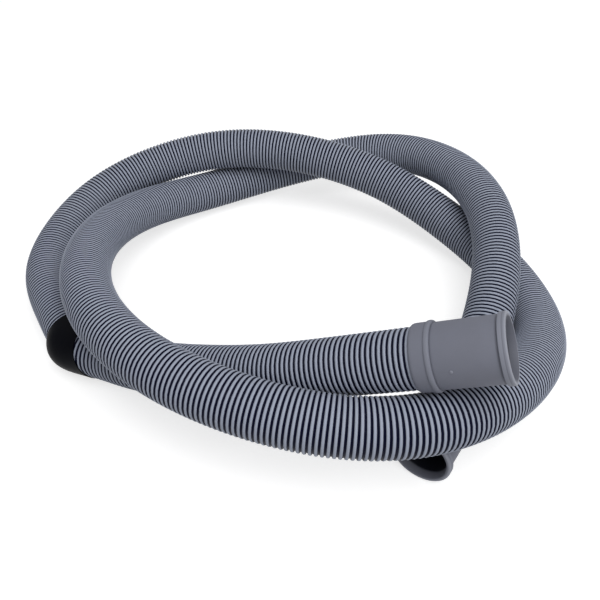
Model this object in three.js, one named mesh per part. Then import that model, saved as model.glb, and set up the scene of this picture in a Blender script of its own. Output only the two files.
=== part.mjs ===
// Dishwasher drain hose, in millimetres, +Z up.
// A corrugated hose lies in a loose coil on the surface Z = 0, round the origin. A straight moulded cuff
// is pushed over each end, and a black band is wrapped round the hose.

import * as THREE from 'three';

// Corrugated hose
const HOSE_DIAMETER = 25; // over the crests of the ribs
const HOSE_WALL = 3; // from the crests to the clear way inside the ribs
const HOSE_SIDES = 12;
const HOSE_STEPS = 110;

// Clearances
const FIT_CLEARANCE = 0.3; // between the hose and what sits on it
const CROSSING_GAP = 0.4; // between two strands where one rides over the other

// Cuffs, measured along their axis from the collar's open end
const CUFF_LENGTH = 35.5;
const CUFF_BORE = 22;
const SEAT_DEPTH = 7; // how far the hose is pushed in
const COLLAR_WALL = 0.7; // round the socket that takes the hose
const COLLAR_LENGTH = 6;
const RIDGE_HEIGHT = 0.5; // above the collar
const RIDGE_LENGTH = 2;
const LIP_WALL = 2.75;
const LIP_LENGTH = 2.8;
const LIP_RISE = 0.6; // length of the slope from the body up to the lip
const LEAD_IN_WIDTH = 1; // how far the bore flares at the mouth, so that it starts easily over a spigot
const LEAD_IN_DEPTH = 3;
const EDGE_ROUND = 0.6;
const CUFF_SIDES = 40;
const OUTLET_WALL = 2; // the cuff that lies on top of the coil
const INLET_WALL = 1.7; // the cuff that is tucked under the coil

// Black band
const BAND_START = 170.5; // along the hose from its outlet end
const BAND_WIDTH = 20.5;
const BAND_THICKNESS = 0.6;
const BAND_PLAY = 0.8; // how far the loose wrap stands off the ribs
const BAND_SIDES = 24;
const BAND_STEPS = 4;

// The hose's route, from its outlet end to its inlet end. Each entry is [x, y, lift]: a lift of 0 lies on
// the surface, and a lift of 1 rides over a strand that lies there.
const ROUTE = [
  [62.5, -111.5, 2.09], [12, -98.3, 1.24], [-14, -90.3, 0.81], [-61, -72, 0.2], [-81, -61, 0.12],
  [-100, -54, 0.08], [-115, -28, 0.08], [-137.4, 8, 0.04], [-131, 54, 0.25], [-111, 83, 0.58], [-75, 105, 0.9],
  [-32, 111, 1.14], [17, 103, 1.1], [66, 85, 0.76], [104, 55, 0.2], [129, 17, 0], [137, -24, 0],
  [129, -63, 0.3], [103, -100, 0.8], [71, -123.6, 1.13], [35, -129.6, 1.165], [-9, -120.5, 1.23],
  [-54, -97, 1.28], [-86, -62, 1.25], [-102, -18, 1.08], [-102, 30, 0.7], [-85, 70, 0.3], [-54, 99, 0],
  [-14, 118, 0.14], [30, 129, 0.42], [68, 125, 0.72], [95, 105, 0.96], [114, 71, 1.13], [121, 28, 1.16],
  [116, -14, 0.8], [104, -48, 0.4], [91, -76.5, 0.07], [77.5, -96.5, 0.07],
];

// Colours and finishes
const HOSE_PLASTIC = { color: 0x8b8f9c, roughness: 0.5, metalness: 0 };
const CUFF_RUBBER = { color: 0x74777f, roughness: 0.65, metalness: 0 };
const BAND_FILM = { color: 0x0b0c10, roughness: 0.25, metalness: 0 };

// A smooth curve that is drawn by its control points and starts and ends on the first and the last one.
class SmoothRoute extends THREE.Curve {
  constructor(points) {
    super();
    const first = points[0];
    const last = points[points.length - 1];
    this.controls = [first, first, ...points, last, last];
    this.arcLengthDivisions = 1000;
  }

  getPoint(t, target = new THREE.Vector3()) {
    const spans = this.controls.length - 3;
    const span = Math.min(Math.floor(t * spans), spans - 1);
    const u = t * spans - span;
    const weights = [
      (1 - u) ** 3,
      3 * u ** 3 - 6 * u ** 2 + 4,
      -3 * u ** 3 + 3 * u ** 2 + 3 * u + 1,
      u ** 3,
    ];
    target.set(0, 0, 0);
    weights.forEach((weight, i) => target.addScaledVector(this.controls[span + i], weight / 6));
    return target;
  }
}

// The stretch of a curve between two distances along it.
class Stretch extends THREE.Curve {
  constructor(curve, start, end) {
    super();
    this.curve = curve;
    this.start = start / curve.getLength();
    this.end = end / curve.getLength();
  }

  getPoint(t, target = new THREE.Vector3()) {
    return this.curve.getPointAt(THREE.MathUtils.lerp(this.start, this.end, t), target);
  }
}

// A ring-shaped section: a regular polygon with a hole. Its corners lie at the given radii.
function ringSection(outerRadius, innerRadius, sides) {
  const corners = (radius) => Array.from({ length: sides }, (_, i) => {
    const angle = (i / sides) * 2 * Math.PI;
    return new THREE.Vector2(radius * Math.cos(angle), radius * Math.sin(angle));
  });
  const section = new THREE.Shape(corners(outerRadius));
  section.holes.push(new THREE.Path(corners(innerRadius)));
  return section;
}

// The corner radius of a polygonal bore whose flats stay clear of a round of the given radius.
function clearBoreRadius(radius, clearance, sides) {
  return (radius + clearance) / Math.cos(Math.PI / sides);
}

function solid(name, geometry, finish) {
  const mesh = new THREE.Mesh(geometry, new THREE.MeshStandardMaterial(finish));
  mesh.name = name;
  return mesh;
}

function makeHose(route) {
  const section = ringSection(HOSE_DIAMETER / 2, HOSE_DIAMETER / 2 - HOSE_WALL, HOSE_SIDES);
  const geometry = new THREE.ExtrudeGeometry(section, { steps: HOSE_STEPS, extrudePath: route });
  return solid('drain_hose', geometry, HOSE_PLASTIC);
}

function makeBand(route) {
  const innerRadius = clearBoreRadius(HOSE_DIAMETER / 2, BAND_PLAY, BAND_SIDES);
  const section = ringSection(innerRadius + BAND_THICKNESS, innerRadius, BAND_SIDES);
  const path = new Stretch(route, BAND_START, BAND_START + BAND_WIDTH);
  const geometry = new THREE.ExtrudeGeometry(section, { steps: BAND_STEPS, extrudePath: path });
  return solid('black_band', geometry, BAND_FILM);
}

// A cuff is turned about its own +Y axis. Its stop, which the hose's end meets, is at Y = 0, and its
// mouth is at the positive end.
function makeCuff(name, bodyWall) {
  const collarEnd = -SEAT_DEPTH;
  const ridgeStart = collarEnd + COLLAR_LENGTH;
  const ridgeEnd = ridgeStart + RIDGE_LENGTH;
  const mouth = collarEnd + CUFF_LENGTH;
  const lipStart = mouth - LIP_LENGTH;
  const socket = clearBoreRadius(HOSE_DIAMETER / 2, FIT_CLEARANCE, CUFF_SIDES);
  const collar = HOSE_DIAMETER / 2 + FIT_CLEARANCE + COLLAR_WALL;
  const ridge = collar + RIDGE_HEIGHT;
  const bore = CUFF_BORE / 2;
  const body = bore + bodyWall;
  const lip = bore + LIP_WALL;
  const profile = [
    [socket, collarEnd],
    [collar - EDGE_ROUND / 2, collarEnd],
    [collar, collarEnd + EDGE_ROUND],
    [collar, ridgeStart - EDGE_ROUND],
    [ridge, ridgeStart + EDGE_ROUND / 2],
    [ridge, ridgeEnd - EDGE_ROUND / 2],
    [body, ridgeEnd + EDGE_ROUND],
    [body, lipStart - LIP_RISE],
    [lip, lipStart],
    [lip, mouth - EDGE_ROUND],
    [lip - EDGE_ROUND, mouth],
    [bore + LEAD_IN_WIDTH, mouth],
    [bore, mouth - LEAD_IN_DEPTH],
    [bore, FIT_CLEARANCE],
    [socket, FIT_CLEARANCE],
    [socket, collarEnd],
  ].map(([radius, along]) => new THREE.Vector2(radius, along));
  return solid(name, new THREE.LatheGeometry(profile, CUFF_SIDES), CUFF_RUBBER);
}

// Sets a cuff over the end of the hose, with its mouth pointing the way that the hose comes out.
function seatCuff(cuff, end, outward) {
  cuff.position.copy(end);
  cuff.quaternion.setFromUnitVectors(new THREE.Vector3(0, 1, 0), outward);
  return cuff;
}

const floorHeight = HOSE_DIAMETER / 2;
const crossingRise = HOSE_DIAMETER + CROSSING_GAP;
const controls = ROUTE.map(([x, y, lift]) => new THREE.Vector3(x, y, floorHeight + lift * crossingRise));
const route = new SmoothRoute(controls);
const [outletEnd, afterOutlet] = controls;
const [beforeInlet, inletEnd] = controls.slice(-2);

const drainHose = new THREE.Group();
drainHose.add(
  makeHose(route),
  seatCuff(makeCuff('outlet_cuff', OUTLET_WALL), outletEnd, outletEnd.clone().sub(afterOutlet).normalize()),
  seatCuff(makeCuff('inlet_cuff', INLET_WALL), inletEnd, inletEnd.clone().sub(beforeInlet).normalize()),
  makeBand(route),
);

export default drainHose;
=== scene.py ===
"""A dishwasher drain hose that lies in a loose coil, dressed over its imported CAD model.

The corrugated hose, its two moulded cuffs and the black band round it are made in metres, in the CAD
frame: +Z is up, and the coil lies round the origin on the surface at Z = 0.
"""

import logging
import math
from bisect import bisect_right
from dataclasses import dataclass, field
from enum import Enum

import bpy
from mathutils import Matrix, Vector


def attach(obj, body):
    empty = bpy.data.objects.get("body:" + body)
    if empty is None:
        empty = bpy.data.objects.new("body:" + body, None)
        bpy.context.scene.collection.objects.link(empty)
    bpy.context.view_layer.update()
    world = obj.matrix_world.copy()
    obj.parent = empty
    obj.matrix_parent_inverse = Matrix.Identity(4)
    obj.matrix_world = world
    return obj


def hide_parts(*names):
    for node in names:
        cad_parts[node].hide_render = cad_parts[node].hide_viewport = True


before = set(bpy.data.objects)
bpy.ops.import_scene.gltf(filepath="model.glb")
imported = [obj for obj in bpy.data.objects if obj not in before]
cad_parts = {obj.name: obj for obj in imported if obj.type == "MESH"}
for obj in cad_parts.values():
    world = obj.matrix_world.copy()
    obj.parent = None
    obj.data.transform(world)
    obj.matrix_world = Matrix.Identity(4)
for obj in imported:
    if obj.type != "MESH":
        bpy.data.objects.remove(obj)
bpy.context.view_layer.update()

BODY = "root"
MILLIMETRE = 0.001
HOSE_DIAMETER = 0.025  # over the crests of the ribs
FIT_CLEARANCE = 0.0003  # between the hose and the cuffs that sit on it
MERGE_DISTANCE = 0.00001  # corners nearer than this become one

log = logging.getLogger("drain_hose")


class Tone(Enum):
    """The colours of the hose and its studio, as sRGB hex."""

    RIB_CREST = "989fb0"
    RIB_CREST_WORN = "a4aab9"
    # painted shade, the colour deep in the grooves and in the hose's bore
    RIB_GROOVE = "01041f"
    CUFF_GREY = "777a87"
    CUFF_SHADE = "6e707b"
    # painted shade in a cuff's bore, its fold and its lines
    CUFF_HOLLOW = "050713"
    # painted highlight on a cuff's rim, ridge, lip and nub
    CUFF_RUBBED = "9b9ea9"
    FILM_BLACK = "010209"
    FILM_SCUFF = "05060a"
    FLOOR_PALE = "cacaca"
    BACKDROP_WHITE = "ffffff"


def linear(tone: Tone) -> tuple[float, float, float, float]:
    """Turn an sRGB hex colour into linear light.

    Args:
        tone: The colour to turn.

    Returns:
        Red, green, blue and an alpha of 1.
    """

    def channel(value: float) -> float:
        """Return one sRGB channel, 0 to 1, in linear light."""
        return value / 12.92 if value <= 0.04045 else ((value + 0.055) / 1.055) ** 2.4

    red, green, blue = (channel(int(tone.value[i : i + 2], 16) / 255) for i in (0, 2, 4))
    return (red, green, blue, 1.0)


def socket(sockets: bpy.types.bpy_prop_collection, name: str) -> bpy.types.NodeSocket:
    """Return the socket of that name that the node's options leave in use."""
    return next(item for item in sockets if item.enabled and item.name == name)


def fill_inputs(tree: bpy.types.NodeTree, node: bpy.types.Node, inputs: dict[str | int, object]) -> None:
    """Set the inputs of a node, or link them.

    Args:
        tree: The node tree that holds the node.
        node: The node.
        inputs: Values, or output sockets to link, by the input's name or its place.
    """
    for key, value in inputs.items():
        target = node.inputs[key] if isinstance(key, int) else socket(node.inputs, key)
        if isinstance(value, bpy.types.NodeSocket):
            tree.links.new(value, target)
        else:
            target.default_value = value


def add_node(
    tree: bpy.types.NodeTree, kind: str, inputs: dict[str | int, object], **options: object
) -> bpy.types.Node:
    """Add a node, set its options and fill its inputs.

    Args:
        tree: The node tree that it joins.
        kind: Blender's name for the node type.
        inputs: Values, or output sockets to link, by the input's name or its place.
        **options: The node's own options.

    Returns:
        The new node.
    """
    node = tree.nodes.new(kind)
    for option, value in options.items():
        setattr(node, option, value)
    fill_inputs(tree, node, inputs)
    return node


def noise_scale(size_mm: float) -> float:
    """Return the scale of a noise, in Object coordinates, whose blotches are that many millimetres wide."""
    return 1 / (size_mm * MILLIMETRE)


def new_material(name: str) -> tuple[bpy.types.Material, bpy.types.NodeTree, bpy.types.Node]:
    """Make a material with one Principled shader.

    Args:
        name: The real material's name.

    Returns:
        The material, its node tree and the shader node.
    """
    material = bpy.data.materials.new(name)
    material.use_nodes = True
    tree = material.node_tree
    return material, tree, tree.nodes["Principled BSDF"]


@dataclass(frozen=True)
class RibbedPolypropylene:
    """The hose's extruded plastic: pale satin crests over deep grooves, whose dark colour is painted shade.

    The real grain, about 0.1 mm wide, is too fine to show, so it is drawn coarser.
    """

    roughness: float = 0.48
    gloss: float = 0.07
    # Painted shade: below groove_end a rib is coloured as a shaded groove, and this fades out towards
    # crest_start.
    groove_end: float = 0.62  # the height on a rib up to which the groove's colour holds
    crest_start: float = 0.95  # the height from which the crest's colour holds
    cloud_mm: float = 45.0
    cloud_detail: float = 4.0
    grain_mm: float = 1.1
    grain_depth: float = 0.00002
    grain_strength: float = 0.6

    def make(self) -> bpy.types.Material:
        """Build the material.

        Returns:
            The material, which reads the rib_height attribute of the hose.
        """
        material, tree, shader = new_material("grey polypropylene, corrugated")
        place = add_node(tree, "ShaderNodeTexCoord", {}).outputs["Object"]
        height = add_node(tree, "ShaderNodeAttribute", {}, attribute_name="rib_height").outputs["Fac"]
        cloud = add_node(
            tree,
            "ShaderNodeTexNoise",
            {"Vector": place, "Scale": noise_scale(self.cloud_mm), "Detail": self.cloud_detail},
        )
        crest = add_node(
            tree,
            "ShaderNodeMix",
            {"Factor": cloud.outputs[0], "A": linear(Tone.RIB_CREST), "B": linear(Tone.RIB_CREST_WORN)},
            data_type="RGBA",
        )
        # Painted shade: the grooves are coloured near black, fading up their walls and a little onto the
        # crest edges.
        out_of_groove_shade = add_node(
            tree,
            "ShaderNodeMapRange",
            {"Value": height, "From Min": self.groove_end, "From Max": self.crest_start},
            interpolation_type="SMOOTHSTEP",
        )
        colour = add_node(
            tree,
            "ShaderNodeMix",
            {
                "Factor": out_of_groove_shade.outputs["Result"],
                "A": linear(Tone.RIB_GROOVE),
                "B": socket(crest.outputs, "Result"),
            },
            data_type="RGBA",
        )
        grain = add_node(tree, "ShaderNodeTexNoise", {"Vector": place, "Scale": noise_scale(self.grain_mm)})
        bump = add_node(
            tree,
            "ShaderNodeBump",
            {"Height": grain.outputs[0], "Distance": self.grain_depth, "Strength": self.grain_strength},
        )
        fill_inputs(
            tree,
            shader,
            {
                "Base Color": socket(colour.outputs, "Result"),
                "Normal": bump.outputs["Normal"],
                "Roughness": self.roughness,
                "Specular IOR Level": self.gloss,
            },
        )
        return material


@dataclass(frozen=True)
class MouldedRubber:
    """The cuffs' soft grey rubber: matte, with a fine mould grain, painted shade in its hollows and painted
    highlights on its edges.

    The real grain, about 0.1 mm wide, is too fine to show, so it is drawn coarser.
    """

    gloss: float = 0.3
    cloud_mm: float = 16.0
    cloud_detail: float = 5.0
    grain_mm: float = 0.6
    grain_depth: float = 0.00003
    grain_strength: float = 0.5
    smoothest: float = 0.58
    roughest: float = 0.72

    def make(self) -> bpy.types.Material:
        """Build the material.

        Returns:
            The material, which reads a cuff's painted shade and painted highlight attributes.
        """
        material, tree, shader = new_material("grey moulded rubber")
        place = add_node(tree, "ShaderNodeTexCoord", {}).outputs["Object"]
        cloud = add_node(
            tree,
            "ShaderNodeTexNoise",
            {"Vector": place, "Scale": noise_scale(self.cloud_mm), "Detail": self.cloud_detail},
        ).outputs[0]
        colour = add_node(
            tree,
            "ShaderNodeMix",
            {"Factor": cloud, "A": linear(Tone.CUFF_GREY), "B": linear(Tone.CUFF_SHADE)},
            data_type="RGBA",
        )
        # Painted shade darkens the hollows, then a painted highlight lightens the edges.
        for attribute, tone in (("hollow_shade", Tone.CUFF_HOLLOW), ("painted_highlight", Tone.CUFF_RUBBED)):
            share = add_node(tree, "ShaderNodeAttribute", {}, attribute_name=attribute).outputs["Fac"]
            colour = add_node(
                tree,
                "ShaderNodeMix",
                {"Factor": share, "A": socket(colour.outputs, "Result"), "B": linear(tone)},
                data_type="RGBA",
            )
        roughness = add_node(
            tree, "ShaderNodeMapRange", {"Value": cloud, "To Min": self.smoothest, "To Max": self.roughest}
        )
        grain = add_node(tree, "ShaderNodeTexNoise", {"Vector": place, "Scale": noise_scale(self.grain_mm)})
        bump = add_node(
            tree,
            "ShaderNodeBump",
            {"Height": grain.outputs[0], "Distance": self.grain_depth, "Strength": self.grain_strength},
        )
        fill_inputs(
            tree,
            shader,
            {
                "Base Color": socket(colour.outputs, "Result"),
                "Normal": bump.outputs["Normal"],
                "Roughness": roughness.outputs["Result"],
                "Specular IOR Level": self.gloss,
            },
        )
        return material


@dataclass(frozen=True)
class GlossFilm:
    """The band's thin black film: glossy, with soft wrinkles and light scuffs."""

    gloss: float = 0.03
    wrinkle_mm: float = 11.0
    wrinkle_detail: float = 2.0
    wrinkle_depth: float = 0.0004
    wrinkle_strength: float = 0.8
    scuff_mm: float = 4.0
    scuff_detail: float = 6.0
    smoothest: float = 0.3
    roughest: float = 0.55

    def make(self) -> bpy.types.Material:
        """Build the material.

        Returns:
            The material, in Object coordinates.
        """
        material, tree, shader = new_material("black gloss film")
        place = add_node(tree, "ShaderNodeTexCoord", {}).outputs["Object"]
        scuff = add_node(
            tree,
            "ShaderNodeTexNoise",
            {"Vector": place, "Scale": noise_scale(self.scuff_mm), "Detail": self.scuff_detail},
        ).outputs[0]
        colour = add_node(
            tree,
            "ShaderNodeMix",
            {"Factor": scuff, "A": linear(Tone.FILM_BLACK), "B": linear(Tone.FILM_SCUFF)},
            data_type="RGBA",
        )
        roughness = add_node(
            tree, "ShaderNodeMapRange", {"Value": scuff, "To Min": self.smoothest, "To Max": self.roughest}
        )
        wrinkle = add_node(
            tree,
            "ShaderNodeTexNoise",
            {"Vector": place, "Scale": noise_scale(self.wrinkle_mm), "Detail": self.wrinkle_detail},
        )
        bump = add_node(
            tree,
            "ShaderNodeBump",
            {"Height": wrinkle.outputs[0], "Distance": self.wrinkle_depth, "Strength": self.wrinkle_strength},
        )
        fill_inputs(
            tree,
            shader,
            {
                "Base Color": socket(colour.outputs, "Result"),
                "Normal": bump.outputs["Normal"],
                "Roughness": roughness.outputs["Result"],
                "Specular IOR Level": self.gloss,
            },
        )
        return material


@dataclass(frozen=True)
class Station:
    """A place along the hose: its middle, the way that the hose runs, and two directions across it."""

    centre: Vector
    along: Vector
    side: Vector
    up: Vector

    def ring_point(self, angle: float, radius: float, shift: float = 0.0) -> Vector:
        """Return the point at an angle and radius round the hose, moved along it by shift."""
        across = self.side * math.cos(angle) + self.up * math.sin(angle)
        return self.centre + across * radius + self.along * shift


@dataclass
class HoseRoute:
    """The curve that the hose follows, from its outlet end to its inlet end.

    Each entry of points is [x, y, lift] with x and y in millimetres: a lift of 0 lies on the surface, and a
    lift of 1 rides over a strand that lies there.
    """

    crossing_gap: float = 0.0004
    samples_per_span: int = 48
    points: tuple[tuple[float, float, float], ...] = (
        (62.5, -111.5, 2.09), (12, -98.3, 1.24), (-14, -90.3, 0.81), (-61, -72, 0.2), (-81, -61, 0.12),
        (-100, -54, 0.08), (-115, -28, 0.08), (-137.4, 8, 0.04), (-131, 54, 0.25), (-111, 83, 0.58),
        (-75, 105, 0.9), (-32, 111, 1.14), (17, 103, 1.1), (66, 85, 0.76), (104, 55, 0.2), (129, 17, 0),
        (137, -24, 0), (129, -63, 0.3), (103, -100, 0.8), (71, -123.6, 1.13), (35, -129.6, 1.165),
        (-9, -120.5, 1.23), (-54, -97, 1.28), (-86, -62, 1.25), (-102, -18, 1.08), (-102, 30, 0.7),
        (-85, 70, 0.3), (-54, 99, 0), (-14, 118, 0.14), (30, 129, 0.42), (68, 125, 0.72), (95, 105, 0.96),
        (114, 71, 1.13), (121, 28, 1.16), (116, -14, 0.8), (104, -48, 0.4), (91, -76.5, 0.07),
        (77.5, -96.5, 0.07),
    )
    controls: list[Vector] = field(init=False)
    stations: list[Station] = field(init=False, default_factory=list)
    distances: list[float] = field(init=False, default_factory=list)

    def __post_init__(self) -> None:
        """Sample the curve, and carry a frame along it without twist."""
        out_of_groove_shade = HOSE_DIAMETER + self.crossing_gap
        floor = HOSE_DIAMETER / 2
        self.controls = [
            Vector((x * MILLIMETRE, y * MILLIMETRE, floor + lift * out_of_groove_shade)) for x, y, lift in self.points
        ]
        centres = self.sample()
        side = Vector((0, 0, 1)).cross(centres[1] - centres[0]).normalized()
        distance = 0.0
        for i, centre in enumerate(centres):
            before = centres[max(i - 1, 0)]
            after = centres[min(i + 1, len(centres) - 1)]
            along = (after - before).normalized()
            side = (side - along * side.dot(along)).normalized()
            distance += (centre - before).length
            self.stations.append(Station(centre, along, side, along.cross(side)))
            self.distances.append(distance)

    def sample(self) -> list[Vector]:
        """Work out the smooth curve that the controls draw, which starts and ends on the first and the last.

        Returns:
            Close points on the curve.
        """
        first, last = self.controls[0], self.controls[-1]
        held = [first, first, *self.controls, last, last]
        spans = len(held) - 3
        centres = []
        for step in range(spans * self.samples_per_span + 1):
            span = min(step // self.samples_per_span, spans - 1)
            u = step / self.samples_per_span - span
            weights = (
                (1 - u) ** 3,
                3 * u**3 - 6 * u**2 + 4,
                -3 * u**3 + 3 * u**2 + 3 * u + 1,
                u**3,
            )
            centres.append(sum((held[span + i] * (w / 6) for i, w in enumerate(weights)), Vector()))
        return centres

    @property
    def length(self) -> float:
        """Return the curve's length in metres."""
        return self.distances[-1]

    def at(self, distance: float) -> Station:
        """Find the place at a distance along the curve.

        Args:
            distance: Metres from the outlet end. Past either end, the curve goes straight on.

        Returns:
            The station there.
        """
        after = min(max(bisect_right(self.distances, distance), 1), len(self.stations) - 1)
        low, high = self.stations[after - 1], self.stations[after]
        gap = self.distances[after] - self.distances[after - 1]
        share = (distance - self.distances[after - 1]) / gap if gap else 0.0
        along = low.along.lerp(high.along, share).normalized()
        side = low.side.lerp(high.side, share)
        side = (side - along * side.dot(along)).normalized()
        return Station(low.centre.lerp(high.centre, share), along, side, along.cross(side))


def finish_piece(piece: bpy.types.Object, material: bpy.types.Material, node: str) -> None:
    """Dress a piece, join it to the body, and hide the CAD part that it stands for.

    Args:
        piece: The finished object.
        material: Its finish.
        node: The CAD node that it stands for.
    """
    piece.data.materials.clear()
    piece.data.materials.append(material)
    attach(piece, BODY)
    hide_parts(node)
    log.info("%s: %d faces, for %s", piece.name, len(piece.data.polygons), node)


def leave_nothing_selected() -> None:
    """Go to object mode with nothing selected, so that an operator acts on its own piece alone."""
    if bpy.context.object and bpy.context.object.mode != "OBJECT":
        bpy.ops.object.mode_set(mode="OBJECT")
    bpy.ops.object.select_all(action="DESELECT")


@dataclass(frozen=True)
class HoseRing:
    """A ring of the hose's wall, at a station or moved along the hose by shift."""

    station: Station
    radius: float
    # A rib height of 0 takes the groove's painted shade.
    rib_height: float = 0.0  # 0 in a groove and in the bore, 1 on a crest
    shift: float = 0.0


@dataclass
class CorrugatedHose:
    """The hose: stiff ribs at an even pitch, with grooves that open and close as it bends."""

    route: HoseRoute
    stated_length: float = 1.5
    bore: float = 0.019
    rib_count: int = 697
    groove_depth: float = 0.0008
    crest_round: float = 0.00018
    crest_share: float = 0.56  # of the pitch
    groove_share: float = 0.3  # of the pitch
    # The crest edges sit partway up the groove's painted shade.
    edge_height: float = 0.84  # the rib height at the edges of a crest
    sides: int = 26
    bore_steps: int = 120
    path_steps: int = 400

    def rib_rings(self) -> list[HoseRing]:
        """Lay out the outside of the hose.

        Returns:
            Its rings, from the outlet end to the inlet end.
        """
        pitch = self.route.length / self.rib_count
        crest = HOSE_DIAMETER / 2
        edge = crest - self.crest_round
        groove = crest - self.groove_depth
        half_crest = pitch * self.crest_share / 2
        half_groove = pitch * self.groove_share / 2
        rings = [HoseRing(self.route.at(0.0), groove)]
        for rib in range(self.rib_count):
            middle = self.route.at((rib + 0.5) * pitch)
            valley = self.route.at((rib + 1) * pitch)
            rings += [
                HoseRing(middle, edge, self.edge_height, -half_crest),
                HoseRing(middle, crest, 1.0),
                HoseRing(middle, edge, self.edge_height, half_crest),
                HoseRing(valley, groove, shift=-half_groove),
                HoseRing(valley, groove, shift=half_groove),
            ]
        return rings[:-1]

    def bore_rings(self) -> list[HoseRing]:
        """Lay out the clear way through the hose.

        Returns:
            Its rings, from the inlet end back to the outlet end.
        """
        steps = range(self.bore_steps, -1, -1)
        distances = (self.route.length * step / self.bore_steps for step in steps)
        return [HoseRing(self.route.at(distance), self.bore / 2) for distance in distances]

    def build(self, finish: RibbedPolypropylene) -> bpy.types.Object:
        """Make the hose as one closed wall.

        Args:
            finish: Its material.

        Returns:
            The finished hose.
        """
        rings = self.rib_rings() + self.bore_rings()
        angles = [2 * math.pi * i / self.sides for i in range(self.sides)]
        corners = [
            ring.station.ring_point(angle, ring.radius, ring.shift) for ring in rings for angle in angles
        ]
        faces = []
        for k in range(len(rings)):
            here = k * self.sides
            there = ((k + 1) % len(rings)) * self.sides
            for j in range(self.sides):
                beside = (j + 1) % self.sides
                faces.append((here + j, here + beside, there + beside, there + j))
        mesh = bpy.data.meshes.new("corrugated_hose")
        mesh.from_pydata(corners, [], faces)
        mesh.polygons.foreach_set("use_smooth", [True] * len(faces))
        heights = mesh.attributes.new("rib_height", "FLOAT", "POINT")
        heights.data.foreach_set("value", [ring.rib_height for ring in rings for _ in angles])
        hose = bpy.data.objects.new("corrugated_hose", mesh)
        bpy.context.collection.objects.link(hose)
        finish_piece(hose, finish.make(), "drain_hose")
        return hose

    def declare(self) -> None:
        """Work out points along the middle of the hose.
        """
        steps = range(self.path_steps + 1)
        middle = [self.route.at(self.route.length * step / self.path_steps).centre[:] for step in steps]


@dataclass(frozen=True)
class WallPoint:
    """A corner of a cuff's wall: its radius, its distance outward from the hose's end, and how much painted
    shade and painted highlight it carries.
    """

    radius: float
    along: float
    # painted shade, from 0 to 1
    hollow_shade: float = 0.0
    # painted highlight, from 0 to 1
    painted_highlight: float = 0.0


def even_turns(end: float, steps: int) -> list[float]:
    """Return evenly spaced angles from 0 to end, both included."""
    return [end * step / steps for step in range(steps + 1)]


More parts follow.
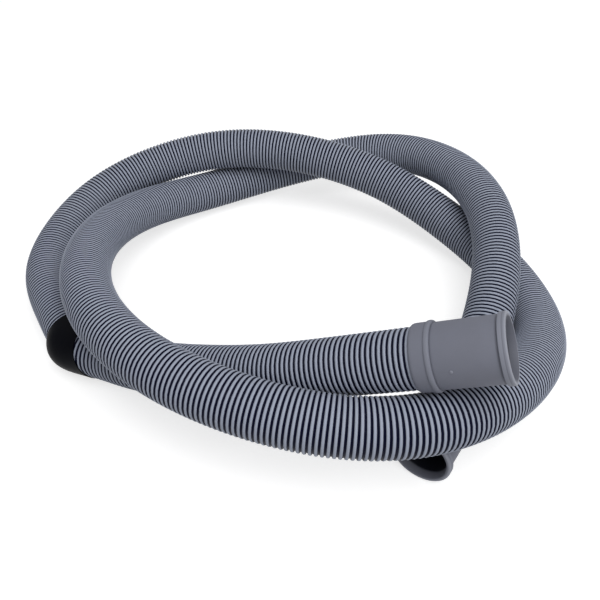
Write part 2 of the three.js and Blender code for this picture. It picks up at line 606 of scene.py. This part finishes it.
@dataclass
class MouldedCuff:
    """A straight rubber sleeve over the end of the hose: collar, ridge, plain body and beaded lip."""

    name: str
    node: str
    end: Vector
    outward: Vector
    body_wall: float
    nub_side: Vector | None = None
    length: float = 0.0355
    seat_depth: float = 0.007  # how far the hose is pushed in
    bore: float = 0.022
    sides: int = 96

    # Collar and ridge, with a painted highlight along the ridge's top
    collar_wall: float = 0.0007
    shoulder_round: float = 0.0016
    shoulder_steps: int = 5
    ridge_place: float = 0.007  # the ridge's middle, from the collar's open end
    ridge_length: float = 0.0022
    ridge_height: float = 0.0005
    ridge_steps: int = 8
    ridge_highlight: float = 0.15

    # Fine fold between the ridge and the body, darkened with painted shade: its foot, its side and its end,
    # past the ridge
    fold_foot: float = 0.0001
    fold_side: float = 0.0004
    fold_end: float = 0.0009

    # Lip, and the fine line round it, with painted shade in the line and at the lip's foot, and a painted
    # highlight on the lip
    lip_wall: float = 0.00275
    lip_length: float = 0.0028
    lip_slope: float = 0.0006
    lip_run_in: float = 0.0007  # plain body before the slope, where its shade starts
    line_place: float = 0.0013  # back from the mouth
    line_half_width: float = 0.00025
    line_depth: float = 0.00015

    # Mouth, and the flare behind it, with a painted highlight on the rim and painted shade inside
    edge_round: float = 0.0006
    edge_steps: int = 4
    edge_highlight: float = 0.4
    # The rim's painted highlight reaches this far in from the rounded edge.
    highlight_rim: float = 0.0003  # in from the rounded edge
    shaded_rim: float = 0.0007  # in from the rounded edge
    lead_in_width: float = 0.001
    lead_in_depth: float = 0.003
    flare_edge_width: float = 0.0002
    flare_edge_depth: float = 0.0003
    throat_edge_width: float = 0.0001
    throat_edge_length: float = 0.0002
    # Past dark_depth the bore is painted in full shade.
    dark_depth: float = 0.0008  # past the throat, where the bore is dark

    # Mould nub, lightened with a painted highlight
    nub_place: float = 0.0078
    nub_diameter: float = 0.0014
    nub_flatness: float = 0.4
    nub_highlight: float = 0.35

    smooth_below: float = 40.0  # degrees between faces

    @property
    def socket_radius(self) -> float:
        """Return the radius of the socket that takes the hose."""
        return HOSE_DIAMETER / 2 + FIT_CLEARANCE

    @property
    def body_radius(self) -> float:
        """Return the radius of the plain body."""
        return self.bore / 2 + self.body_wall

    @property
    def lip_radius(self) -> float:
        """Return the radius of the lip."""
        return self.bore / 2 + self.lip_wall

    @property
    def mouth(self) -> float:
        """Return how far the mouth lies outward from the hose's end."""
        return self.length - self.seat_depth

    def collar(self) -> list[WallPoint]:
        """Lay out the collar, from its rounded shoulder over its soft ridge to the body, with a painted
        highlight along the ridge and painted shade in the fold behind it.

        Returns:
            The corners of that part of the wall.
        """
        start = -self.seat_depth
        inner = self.socket_radius
        outer = inner + self.collar_wall
        body = self.body_radius
        ridge_start = start + self.ridge_place - self.ridge_length / 2
        ridge_end = ridge_start + self.ridge_length
        points = []
        for turn in even_turns(math.pi / 2, self.shoulder_steps):
            radius = inner + (outer - inner) * math.sin(turn)
            points.append(WallPoint(radius, start + self.shoulder_round * (1 - math.cos(turn))))
        for turn in even_turns(math.pi, self.ridge_steps):
            radius = outer + self.ridge_height * math.sin(turn)
            along = ridge_start + self.ridge_length * (1 - math.cos(turn)) / 2
            # painted highlight along the ridge's top
            points.append(WallPoint(radius, along, painted_highlight=self.ridge_highlight * math.sin(turn)))
        points.append(WallPoint(body - self.line_depth, ridge_end + self.fold_foot, hollow_shade=0.35))
        points.append(WallPoint(body - self.line_depth / 2, ridge_end + self.fold_side, hollow_shade=0.1))
        points.append(WallPoint(body, ridge_end + self.fold_end))
        return points

    def lip(self) -> list[WallPoint]:
        """Lay out the lip, with the fine line round it, and the rounded edge of the mouth, with painted shade
        in the line and at the lip's foot and painted highlights on the lip and the edge.

        Returns:
            The corners of that part of the wall.
        """
        start = self.mouth - self.lip_length
        slope = start - self.lip_slope
        line = self.mouth - self.line_place
        body = self.body_radius
        outer = self.lip_radius
        points = [
            WallPoint(body, slope - self.lip_run_in),
            WallPoint(body - self.line_depth / 2, slope, hollow_shade=0.4),
            WallPoint((body + outer) / 2, start - self.lip_slope / 2, hollow_shade=0.1),
            WallPoint(outer, start, painted_highlight=0.25),
            WallPoint(outer, line - self.line_half_width, painted_highlight=0.3),
            WallPoint(outer - self.line_depth / 2, line, hollow_shade=0.12),
            WallPoint(outer, line + self.line_half_width, painted_highlight=0.3),
        ]
        for turn in even_turns(math.pi / 2, self.edge_steps):
            radius = outer - self.edge_round * (1 - math.cos(turn))
            along = self.mouth - self.edge_round * (1 - math.sin(turn))
            points.append(WallPoint(radius, along, painted_highlight=self.edge_highlight * (1 + math.sin(turn))))
        return points

    def inside(self) -> list[WallPoint]:
        """Lay out the flared mouth, the bore and the socket, back to the collar's open end, with a painted
        highlight on the rim and painted shade that deepens into the bore.

        Returns:
            The corners of that part of the wall.
        """
        mouth = self.mouth
        bore = self.bore / 2
        flare = bore + self.lead_in_width
        rim = self.lip_radius - self.edge_round
        throat = mouth - self.lead_in_depth
        return [
            WallPoint(rim - self.highlight_rim, mouth, painted_highlight=0.5),
            WallPoint(rim - self.shaded_rim, mouth, hollow_shade=0.15),
            WallPoint(flare, mouth, hollow_shade=0.3),
            WallPoint(flare - self.flare_edge_width, mouth - self.flare_edge_depth, hollow_shade=0.3),
            WallPoint(bore + self.throat_edge_width, throat + self.throat_edge_length, hollow_shade=0.5),
            WallPoint(bore, throat, hollow_shade=0.65),
            WallPoint(bore, throat - self.dark_depth, hollow_shade=1.0),
            WallPoint(bore, FIT_CLEARANCE, hollow_shade=1.0),
            WallPoint(self.socket_radius, FIT_CLEARANCE, hollow_shade=1.0),
        ]

    def turn_sleeve(self, wall: list[WallPoint]) -> bpy.types.Object:
        """Draw the wall out of a ring, corner by corner, and close it.

        Args:
            wall: The corners of the wall, in order round it.

        Returns:
            The sleeve, about its own Z axis.
        """
        first = wall[0]
        leave_nothing_selected()
        bpy.ops.mesh.primitive_circle_add(
            vertices=self.sides, radius=first.radius, fill_type="NOTHING", location=(0, 0, first.along)
        )
        sleeve = bpy.context.object
        sleeve.name = self.name
        bpy.ops.object.transform_apply()
        bpy.ops.object.mode_set(mode="EDIT")
        bpy.ops.mesh.select_all(action="SELECT")
        for here, there in zip(wall, [*wall[1:], first]):
            bpy.ops.mesh.extrude_region_move(
                TRANSFORM_OT_translate={"value": (0, 0, there.along - here.along)}
            )
            grow = there.radius / here.radius
            bpy.ops.transform.resize(value=(grow, grow, 1))
        bpy.ops.mesh.select_all(action="SELECT")
        bpy.ops.mesh.remove_doubles(threshold=MERGE_DISTANCE)
        bpy.ops.mesh.normals_make_consistent(inside=False)
        bpy.ops.object.mode_set(mode="OBJECT")
        return sleeve

    def tone_sleeve(self, sleeve: bpy.types.Object, wall: list[WallPoint]) -> None:
        """Give each corner of the sleeve the painted shade and painted highlight of the wall's corner that it
        was drawn to.

        Args:
            sleeve: The sleeve, about its own Z axis.
            wall: The corners of the wall.
        """
        hollow_shade = sleeve.data.attributes.new("hollow_shade", "FLOAT", "POINT")
        painted_highlight = sleeve.data.attributes.new("painted_highlight", "FLOAT", "POINT")
        for corner in sleeve.data.vertices:
            radius, along = corner.co.xy.length, corner.co.z
            nearest = min(wall, key=lambda point: math.hypot(point.radius - radius, point.along - along))
            hollow_shade.data[corner.index].value = nearest.hollow_shade
            painted_highlight.data[corner.index].value = nearest.painted_highlight

    def add_nub(self, sleeve: bpy.types.Object) -> None:
        """Raise the small round nub that the mould leaves on the body.

        Args:
            sleeve: The seated sleeve, which the nub joins.
        """
        leave_nothing_selected()
        bpy.ops.mesh.primitive_uv_sphere_add(
            segments=24,
            ring_count=12,
            radius=self.nub_diameter / 2,
            location=self.end + self.outward * self.nub_place + self.nub_side * self.body_radius,
            rotation=self.nub_side.to_track_quat("Z", "Y").to_euler(),
            scale=(1, 1, self.nub_flatness),
        )
        nub = bpy.context.object
        # The nub is lightened with a painted highlight.
        painted_highlight = nub.data.attributes.new("painted_highlight", "FLOAT", "POINT")
        painted_highlight.data.foreach_set("value", [self.nub_highlight] * len(nub.data.vertices))
        bpy.ops.object.shade_smooth()
        bpy.ops.object.transform_apply()
        sleeve.select_set(True)
        bpy.context.view_layer.objects.active = sleeve
        bpy.ops.object.join()
        log.info("nub joined to %s, which has %d corners", sleeve.name, len(sleeve.data.vertices))

    def build(self, material: bpy.types.Material) -> bpy.types.Object:
        """Make the cuff and seat it over the hose.

        Args:
            material: Its finish.

        Returns:
            The finished cuff.
        """
        wall = [*self.collar(), *self.lip(), *self.inside()]
        sleeve = self.turn_sleeve(wall)
        self.tone_sleeve(sleeve, wall)
        bpy.ops.object.shade_smooth_by_angle(angle=math.radians(self.smooth_below))
        turn = Vector((0, 0, 1)).rotation_difference(self.outward)
        sleeve.matrix_world = Matrix.Translation(self.end) @ turn.to_matrix().to_4x4()
        bpy.ops.object.transform_apply()
        if self.nub_side:
            self.add_nub(sleeve)
        finish_piece(sleeve, material, self.node)
        return sleeve


@dataclass
class BlackBand:
    """A film that is wrapped round the hose, tight at one edge and loose at the other.

    The edge on the outlet's side is slanted, and the film bulges on the coil's outer side.
    """

    route: HoseRoute
    start: float = 0.1705  # along the hose from its outlet end
    width: float = 0.0205
    thickness: float = 0.0003
    tight_play: float = 0.00015
    loose_play: float = 0.0004
    bulge: float = 0.0025
    bulge_side: Vector = field(default_factory=lambda: Vector((-0.66, -0.66, -0.36)))
    bulge_lean: float = 1.9  # above 1, the bulge lies nearer the loose edge
    bulge_focus: float = 1.5  # the higher, the less far it reaches round the hose
    slant: float = 0.0042
    slant_side: Vector = field(default_factory=lambda: Vector((0.05, 0.05, -1.0)))
    sides: int = 72
    steps: int = 24
    smooth_below: float = 50.0  # degrees between faces

    def film_point(self, angle: float, share: float) -> Vector:
        """Find a point on the film's inner surface.

        Args:
            angle: Its angle round the hose.
            share: How far across the film's width it lies, from 0 at the slanted edge to 1.

        Returns:
            The point.
        """
        distance = self.start + self.width * share
        middle = self.route.at(distance)
        across = middle.ring_point(angle, 1.0) - middle.centre
        slant = -self.slant * across.dot(self.slant_side) * (1 - share)
        facing = max(across.dot(self.bulge_side), 0.0) ** self.bulge_focus
        swell = self.bulge * math.sin(math.pi * share**self.bulge_lean) * facing
        play = self.tight_play + (self.loose_play - self.tight_play) * share + swell
        return self.route.at(distance + slant).ring_point(angle, HOSE_DIAMETER / 2 + play)

    def build(self, finish: GlossFilm) -> bpy.types.Object:
        """Wrap the band round the hose.

        Args:
            finish: Its material.

        Returns:
            The finished band.
        """
        leave_nothing_selected()
        bpy.ops.mesh.primitive_cylinder_add(
            vertices=self.sides, radius=HOSE_DIAMETER / 2, depth=self.width, end_fill_type="NOTHING"
        )
        band = bpy.context.object
        band.name = "black_film_band"
        bpy.ops.object.mode_set(mode="EDIT")
        for step in range(1, self.steps):
            bpy.ops.mesh.select_all(action="SELECT")
            height = self.width * (step / self.steps - 0.5)
            bpy.ops.mesh.bisect(plane_co=(0, 0, height), plane_no=(0, 0, 1))
        bpy.ops.object.mode_set(mode="OBJECT")
        for corner in band.data.vertices:
            angle = math.atan2(corner.co.y, corner.co.x)
            corner.co = self.film_point(angle, min(max(corner.co.z / self.width + 0.5, 0.0), 1.0))
        wall = band.modifiers.new("film", "SOLIDIFY")
        wall.thickness = self.thickness
        wall.offset = 1.0
        bpy.ops.object.modifier_apply(modifier=wall.name)
        bpy.ops.object.shade_smooth_by_angle(angle=math.radians(self.smooth_below))
        finish_piece(band, finish.make(), "black_band")
        return band


@dataclass
class Studio:
    """The pale floor, the soft lights and the camera."""

    camera_place: tuple[float, float, float] = (0.011, -0.2873, 0.241)
    camera_tilt: float = 50.0
    camera_clip: float = 0.01
    lens: float = 39.0
    floor_size: float = 6.0
    floor_roughness: float = 0.9
    floor_gloss: float = 0.1
    floor_glow: float = 0.68  # brings the lit floor up to white in the picture
    ambient: float = 0.36
    key_place: tuple[float, float, float] = (0.2, -0.4, 1.02)
    key_size: float = 0.8
    key_power: float = 6.9
    fill_place: tuple[float, float, float] = (0.7, -0.9, 0.7)
    fill_size: float = 0.9
    fill_power: float = 2.6

    def set_camera(self) -> None:
        """Place the camera where the photograph was taken."""
        camera = bpy.data.objects.new("camera", bpy.data.cameras.new("camera"))
        camera.location = self.camera_place
        camera.rotation_euler = (math.radians(self.camera_tilt), 0, 0)
        camera.data.lens = self.lens
        camera.data.clip_start = self.camera_clip
        bpy.context.collection.objects.link(camera)
        bpy.context.scene.camera = camera

    def seen_directly(self, tree: bpy.types.NodeTree) -> bpy.types.NodeSocket:
        """Tell the rays that show the background from the rest.

        Args:
            tree: The node tree that asks.

        Returns:
            A factor that is 1 for those rays, and 0 for the rest.
        """
        rays = add_node(tree, "ShaderNodeLightPath", {}).outputs
        seen = rays["Is Camera Ray"]
        for kind in ("Is Glossy Ray", "Is Transmission Ray"):
            seen = add_node(tree, "ShaderNodeMath", {0: seen, 1: rays[kind]}, operation="MAXIMUM").outputs[0]
        return seen

    def lay_floor(self) -> None:
        """Lay a pale floor that shows nearly white and keeps the hose's shadow."""
        leave_nothing_selected()
        bpy.ops.mesh.primitive_plane_add(size=self.floor_size)
        floor = bpy.context.object
        floor.name = "floor"
        material, tree, shader = new_material("pale floor")
        glow = add_node(
            tree, "ShaderNodeMath", {0: self.seen_directly(tree), 1: self.floor_glow}, operation="MULTIPLY"
        )
        fill_inputs(
            tree,
            shader,
            {
                "Base Color": linear(Tone.FLOOR_PALE),
                "Roughness": self.floor_roughness,
                "Specular IOR Level": self.floor_gloss,
                "Emission Color": linear(Tone.BACKDROP_WHITE),
                "Emission Strength": glow.outputs[0],
            },
        )
        floor.data.materials.append(material)

    def light_world(self) -> None:
        """Give even light from all round, and a white background to the rays that show it."""
        world = bpy.data.worlds.new("studio")
        world.use_nodes = True
        bpy.context.scene.world = world
        tree = world.node_tree
        strength = add_node(
            tree,
            "ShaderNodeMapRange",
            {"Value": self.seen_directly(tree), "To Min": self.ambient, "To Max": 1.0},
        )
        backdrop = {"Color": linear(Tone.BACKDROP_WHITE), "Strength": strength.outputs["Result"]}
        fill_inputs(tree, tree.nodes["Background"], backdrop)

    def hang_lamp(self, name: str, place: tuple[float, float, float], size: float, power: float) -> None:
        """Hang a soft square lamp that points at the coil.

        Args:
            name: The lamp's name.
            place: Where it hangs.
            size: The length of its side.
            power: Its power in watts.
        """
        lamp = bpy.data.objects.new(name, bpy.data.lights.new(name, "AREA"))
        lamp.data.size = size
        lamp.data.energy = power
        lamp.location = place
        lamp.rotation_euler = (-Vector(place)).to_track_quat("-Z", "Y").to_euler()
        bpy.context.collection.objects.link(lamp)

    def set_up(self) -> None:
        """Set up the floor, the world and the lamps."""
        self.lay_floor()
        self.light_world()
        self.hang_lamp("key_lamp", self.key_place, self.key_size, self.key_power)
        self.hang_lamp("fill_lamp", self.fill_place, self.fill_size, self.fill_power)
        bpy.context.scene.view_settings.view_transform = "Standard"


def main() -> None:
    """Build the hose, its cuffs and its band."""
    logging.basicConfig(level=logging.INFO, format="%(message)s")
    studio = Studio()
    studio.set_camera()
    route = HoseRoute()
    log.info("hose length %.3f m", route.length)
    hose_maker = CorrugatedHose(route)
    hose = hose_maker.build(RibbedPolypropylene())
    rubber = MouldedRubber().make()
    first, second = route.controls[:2]
    outlet = MouldedCuff(
        "outlet_rubber_cuff",
        "outlet_cuff",
        first,
        (first - second).normalized(),
        body_wall=0.002,
        nub_side=Vector((-0.329, -0.922, 0.206)),
    )
    before_last, last = route.controls[-2:]
    inlet = MouldedCuff(
        "inlet_rubber_cuff",
        "inlet_cuff",
        last,
        (last - before_last).normalized(),
        body_wall=0.0017,
    )
    on_hose = [outlet.build(rubber), inlet.build(rubber), BlackBand(route).build(GlossFilm())]
    hose_maker.declare()
    studio.set_up()


if __name__ == "__main__":
    main()
